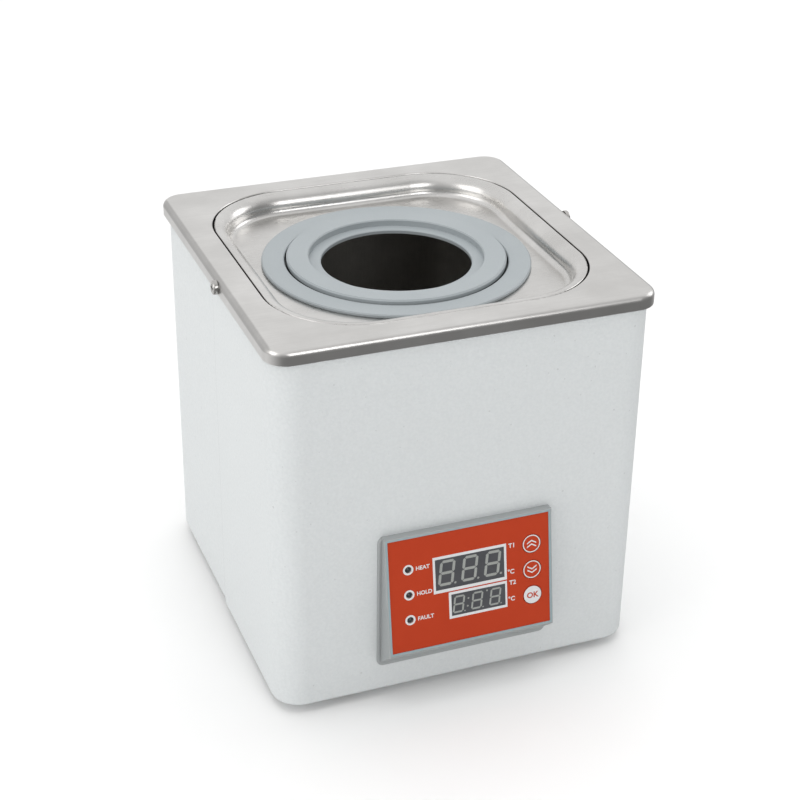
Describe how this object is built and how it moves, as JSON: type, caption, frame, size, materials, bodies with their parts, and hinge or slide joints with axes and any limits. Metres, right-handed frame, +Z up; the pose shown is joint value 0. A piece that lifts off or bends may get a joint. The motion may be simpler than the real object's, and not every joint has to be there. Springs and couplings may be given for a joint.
{
  "type": "laboratory water bath",
  "caption": "Square benchtop water bath: lift-off stainless lid with concentric rings round a beaker hole, heated drawn tank, sloping control panel with displays and keys.",
  "frame": {"origin": "on the bench, under the middle of the cabinet and of the beaker hole", "axes": "+Z up; +X to the right of someone facing the control panel; +Y to the rear, towards the power inlet"},
  "size_m": [0.2082, 0.225, 0.211],
  "materials": {
    "powder_coat": "fine-textured powder coat",
    "galvanised_steel": "zinc coated sheet",
    "zinc_fasteners": "zinc plated",
    "stainless_frame": "satin stainless",
    "stainless_drawn": "satin stainless, drawn",
    "ring_plastic": "fine matt grain",
    "rubber": "matt",
    "wool": "compressed fibre felt",
    "bezel_plastic": "satin moulding",
    "label_film": "printed polyester film",
    "window_film": "tinted film",
    "display_body": "numeric display module",
    "lamp_lens": "smoked lens",
    "circuit_board": "glass-fibre laminate",
    "black_plastic": "moulded",
    "pale_plastic": "moulded",
    "terminal_plastic": "moulded",
    "transformer_core": "varnished laminations",
    "plated_brass": "nickel plated",
    "fuse_glass": "glass tube with plated ends",
    "lead_sleeve": "insulated wire"
  },
  "bodies": {
    "cabinet": {"front_shell": "powder_coat", "rear_shell": "powder_coat", "base_plate": "galvanised_steel", "board_standoffs": "galvanised_steel", "shell_screws": "zinc_fasteners", "shell_nuts": "zinc_fasteners", "foot_screws": "zinc_fasteners", "foot_nuts": "zinc_fasteners", "stud_nuts": "zinc_fasteners", "board_screws": "zinc_fasteners", "standoff_screws": "zinc_fasteners", "inlet_screws": "zinc_fasteners", "inlet_nuts": "zinc_fasteners", "heater_nuts": "zinc_fasteners", "top_frame": "stainless_frame", "frame_screws": "stainless_frame", "frame_studs": "stainless_frame", "inner_tank": "stainless_drawn", "heater_element": "stainless_drawn", "temperature_probe": "stainless_drawn", "probe_fixings": "stainless_drawn", "feet": "rubber", "tank_gasket": "rubber", "heater_gaskets": "rubber", "tank_insulation": "wool", "floor_insulation": "wool", "panel_bezel": "bezel_plastic", "panel_label": "label_film", "display_windows": "window_film", "display_upper": "display_body", "display_lower": "display_body", "indicator_lamps": "lamp_lens", "control_board": "circuit_board", "power_board": "circuit_board", "tact_switches": "black_plastic", "controller_chip": "black_plastic", "buzzer": "black_plastic", "power_inlet": "black_plastic", "switch_housing": "black_plastic", "fuse_holder": "black_plastic", "fuse_nut": "black_plastic", "fuse_cap": "black_plastic", "relay": "black_plastic", "board_connector": "pale_plastic", "board_headers": "pale_plastic", "terminal_block": "terminal_plastic", "transformer": "transformer_core", "inlet_pins": "plated_brass", "fuse": "fuse_glass", "heater_leads": "lead_sleeve", "probe_lead": "lead_sleeve", "ribbon_cable": "lead_sleeve"},
    "lid": {"lid_pan": "stainless_drawn"},
    "outer_ring": {"ring_outer": "ring_plastic"},
    "inner_ring": {"ring_inner": "ring_plastic"},
    "shelf": {"shelf": "stainless_drawn"},
    "key_up": {"button_up": "label_film"},
    "key_down": {"button_down": "label_film"},
    "key_set": {"button_set": "label_film"},
    "rocker": {"switch_rocker": "black_plastic"}
  },
  "joints": [
    {"name": "lid_lift", "type": "slide", "parent": "cabinet", "child": "lid", "axis": [0, 0, 1], "range_m": [0, 0.08]},
    {"name": "outer_ring_lift", "type": "slide", "parent": "lid", "child": "outer_ring", "axis": [0, 0, 1], "range_m": [0, 0.03]},
    {"name": "inner_ring_lift", "type": "slide", "parent": "outer_ring", "child": "inner_ring", "axis": [0, 0, 1], "range_m": [0, 0.03]},
    {"name": "shelf_lift", "type": "slide", "parent": "cabinet", "child": "shelf", "axis": [0, 0, 1], "range_m": [0, 0.09]},
    {"name": "up_press", "type": "slide", "parent": "cabinet", "child": "key_up", "axis": [0, 0.9879, -0.1552], "range_m": [0, 0.0004], "stiffness_N_per_m": 2000},
    {"name": "down_press", "type": "slide", "parent": "cabinet", "child": "key_down", "axis": [0, 0.9879, -0.1552], "range_m": [0, 0.0004], "stiffness_N_per_m": 2000},
    {"name": "set_press", "type": "slide", "parent": "cabinet", "child": "key_set", "axis": [0, 0.9879, -0.1552], "range_m": [0, 0.0004], "stiffness_N_per_m": 2000},
    {"name": "power_rocker", "type": "hinge", "parent": "cabinet", "child": "rocker", "pos_m": [0, 0.1024, 0.034], "axis": [-1, 0, 0], "range_deg": [0, 20]}
  ]
}
